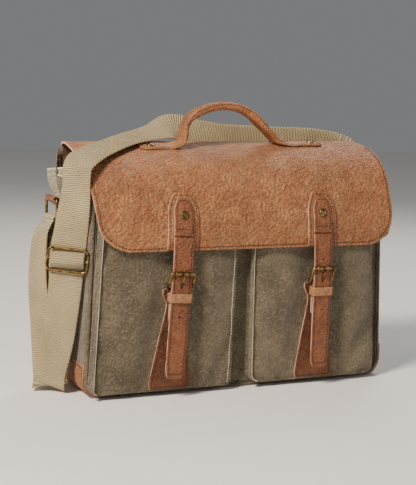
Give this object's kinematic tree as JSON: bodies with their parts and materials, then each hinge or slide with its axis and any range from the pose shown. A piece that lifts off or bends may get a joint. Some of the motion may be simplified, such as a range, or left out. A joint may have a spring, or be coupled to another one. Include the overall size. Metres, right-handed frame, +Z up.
{
  "type": "messenger bag",
  "caption": "Canvas messenger bag with a leather flap held by buckled straps, front bellows pockets, rolled top handle and an adjustable webbing shoulder strap.",
  "frame": {"origin": "middle of the base's underside", "axes": "+X to the bag's right as seen from its front, -Y out of the front, +Z up"},
  "size_m": [0.4811, 0.1633, 0.3459],
  "materials": {
    "canvas": "waxed cotton canvas, matt",
    "lining": "plain cotton, matt",
    "board": "compressed fibreboard, matt",
    "leather": "pull-up leather, pebbled and creased, low sheen",
    "webbing": "heavy cotton webbing, herringbone weave",
    "brass": "antique brass, satin",
    "steel": "nickel plate, satin"
  },
  "bodies": {
    "root": {"front_panel": "canvas", "back_panel": "canvas", "gusset_band": "canvas", "base_board": "board", "lining": "lining", "side_patch_left": "leather", "side_patch_right": "leather", "pocket_left_face": "canvas", "pocket_left_gusset": "canvas", "pocket_right_face": "canvas", "pocket_right_gusset": "canvas", "flap_yoke": "leather", "anchor_left": "leather", "anchor_right": "leather", "snap_left_base": "steel", "snap_right_base": "steel", "ring_tab_left": "leather", "ring_tab_right": "leather", "strap_left_loop": "webbing", "strap_right_drop": "webbing"},
    "flap": {"flap": "leather", "strap_patch_left": "leather", "strap_patch_right": "leather", "strap_left_sewn": "leather", "strap_right_sewn": "leather", "strap_rivet_left": "brass", "strap_rivet_right": "brass", "handle_tab_left": "leather", "handle_tab_right": "leather", "handle_rivet_left": "brass", "handle_rivet_right": "brass", "strap_over_flap": "webbing"},
    "handle": {"handle_grip": "leather"},
    "slider": {"slider_frame": "brass", "slider_bar": "brass", "strap_end_fold": "webbing"},
    "closure_left": {"strap_left_free": "leather", "buckle_left_frame": "brass", "buckle_left_tab": "leather", "snap_left_cap": "steel"},
    "prong_left": {"buckle_left_prong": "brass"},
    "keeper_left": {"keeper_left": "leather"},
    "ring_left": {"ring_left": "brass"},
    "closure_right": {"strap_right_free": "leather", "buckle_right_frame": "brass", "buckle_right_tab": "leather", "snap_right_cap": "steel"},
    "prong_right": {"buckle_right_prong": "brass"},
    "keeper_right": {"keeper_right": "leather"},
    "ring_right": {"ring_right": "brass"}
  },
  "joints": [
    {"name": "flap_open", "type": "hinge", "parent": "root", "child": "flap", "pos_m": [0, 0.0583, 0.2845], "axis": [-1, 0, 0], "range_deg": [0, 150], "deforming": ["strap_over_flap", "strap_right_drop"]},
    {"name": "closure_left_lift", "type": "hinge", "parent": "flap", "child": "closure_left", "pos_m": [-0.0885, -0.0798, 0.187], "axis": [-0.9981, 0, 0.0611], "range_deg": [0, 60]},
    {"name": "prong_left_swing", "type": "hinge", "parent": "closure_left", "child": "prong_left", "pos_m": [-0.09216, -0.0779, 0.12711], "axis": [0.9981, 0, -0.0611], "range_deg": [0, 8]},
    {"name": "keeper_left_slide", "type": "slide", "parent": "closure_left", "child": "keeper_left", "axis": [0.0611, 0, 0.9981], "range_m": [-0.003, 0]},
    {"name": "closure_right_lift", "type": "hinge", "parent": "flap", "child": "closure_right", "pos_m": [0.0935, -0.0798, 0.187], "axis": [-0.9999, 0, 0.0105], "range_deg": [0, 60]},
    {"name": "prong_right_swing", "type": "hinge", "parent": "closure_right", "child": "prong_right", "pos_m": [0.09287, -0.0779, 0.127], "axis": [0.9999, 0, -0.0105], "range_deg": [0, 8]},
    {"name": "keeper_right_slide", "type": "slide", "parent": "closure_right", "child": "keeper_right", "axis": [0.0105, 0, 0.9999], "range_m": [-0.003, 0]},
    {"name": "handle_tilt", "type": "hinge", "parent": "flap", "child": "handle", "pos_m": [0, 0.01, 0.293], "axis": [1, 0, 0], "range_deg": [-60, 75]},
    {"name": "ring_left_swing", "type": "hinge", "parent": "root", "child": "ring_left", "pos_m": [-0.221, 0.003, 0.226], "axis": [0, 1, 0], "range_deg": [-30, 60]},
    {"name": "ring_right_swing", "type": "hinge", "parent": "root", "child": "ring_right", "pos_m": [0.221, 0.003, 0.226], "axis": [0, -1, 0], "range_deg": [-30, 60]},
    {"name": "slider_slide", "type": "slide", "parent": "root", "child": "slider", "axis": [0, 0, 1], "range_m": [-0.012, 0.035], "deforming": ["strap_left_loop", "strap_end_fold"]}
  ]
}
